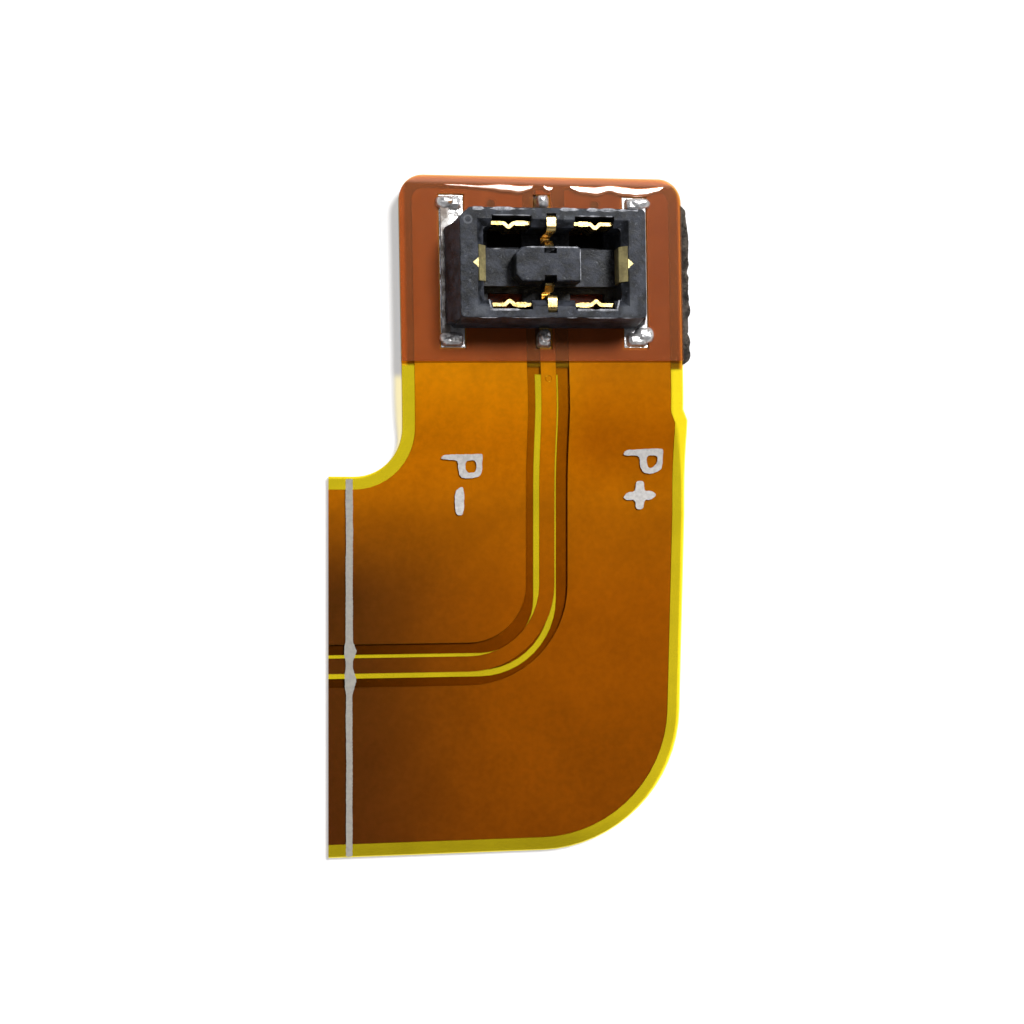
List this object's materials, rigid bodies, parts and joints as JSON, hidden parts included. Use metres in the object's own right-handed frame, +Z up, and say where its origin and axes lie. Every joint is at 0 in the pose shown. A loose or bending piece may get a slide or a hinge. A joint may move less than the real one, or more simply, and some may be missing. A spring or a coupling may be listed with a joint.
{
  "type": "battery flex lead with socket",
  "caption": "Flexible printed lead of a mobile phone battery: amber laminated tail with wide copper planes, a gentle step up to a foam-backed head, and a low black board socket",
  "frame": {"origin": "on the surface that the lead lies on, under the middle of its box", "axes": "X runs across the head, with the tail's cut end at -X; Y runs from the tail up to the head; Z is up, out of the socket's mouth"},
  "size_m": [0.01, 0.0186, 0.002],
  "materials": {
    "amber_film": "gloss, see-through",
    "brown_film": "gloss, see-through",
    "copper": "rolled foil",
    "stiffener_plate": "matt",
    "foam": "open cells",
    "moulded_housing": "moulded, satin",
    "gilded_fitting": "gold and tin plate",
    "gilded_contact": "gold plate",
    "solder": "bright solder"
  },
  "bodies": {
    "root": {"base_film": "amber_film", "bottom_copper_negative": "copper", "bottom_copper_positive": "copper", "bottom_copper_sense": "copper", "bottom_coverlay": "amber_film", "foam_pad": "foam", "head_cover_film": "brown_film", "hold_down_left": "gilded_fitting", "hold_down_right": "gilded_fitting", "negative_via": "copper", "positive_via": "copper", "power_contact_lower_left": "gilded_contact", "power_contact_lower_right": "gilded_contact", "power_contact_upper_left": "gilded_contact", "power_contact_upper_right": "gilded_contact", "sense_via": "copper", "signal_contact_lower": "gilded_contact", "signal_contact_upper": "gilded_contact", "socket_housing": "moulded_housing", "solder_left": "solder", "solder_lower": "solder", "solder_right": "solder", "solder_upper": "solder", "stiffener": "stiffener_plate", "top_copper_negative": "copper", "top_copper_positive": "copper", "top_copper_sense": "copper", "top_coverlay": "amber_film"}
  },
  "joints": []
}
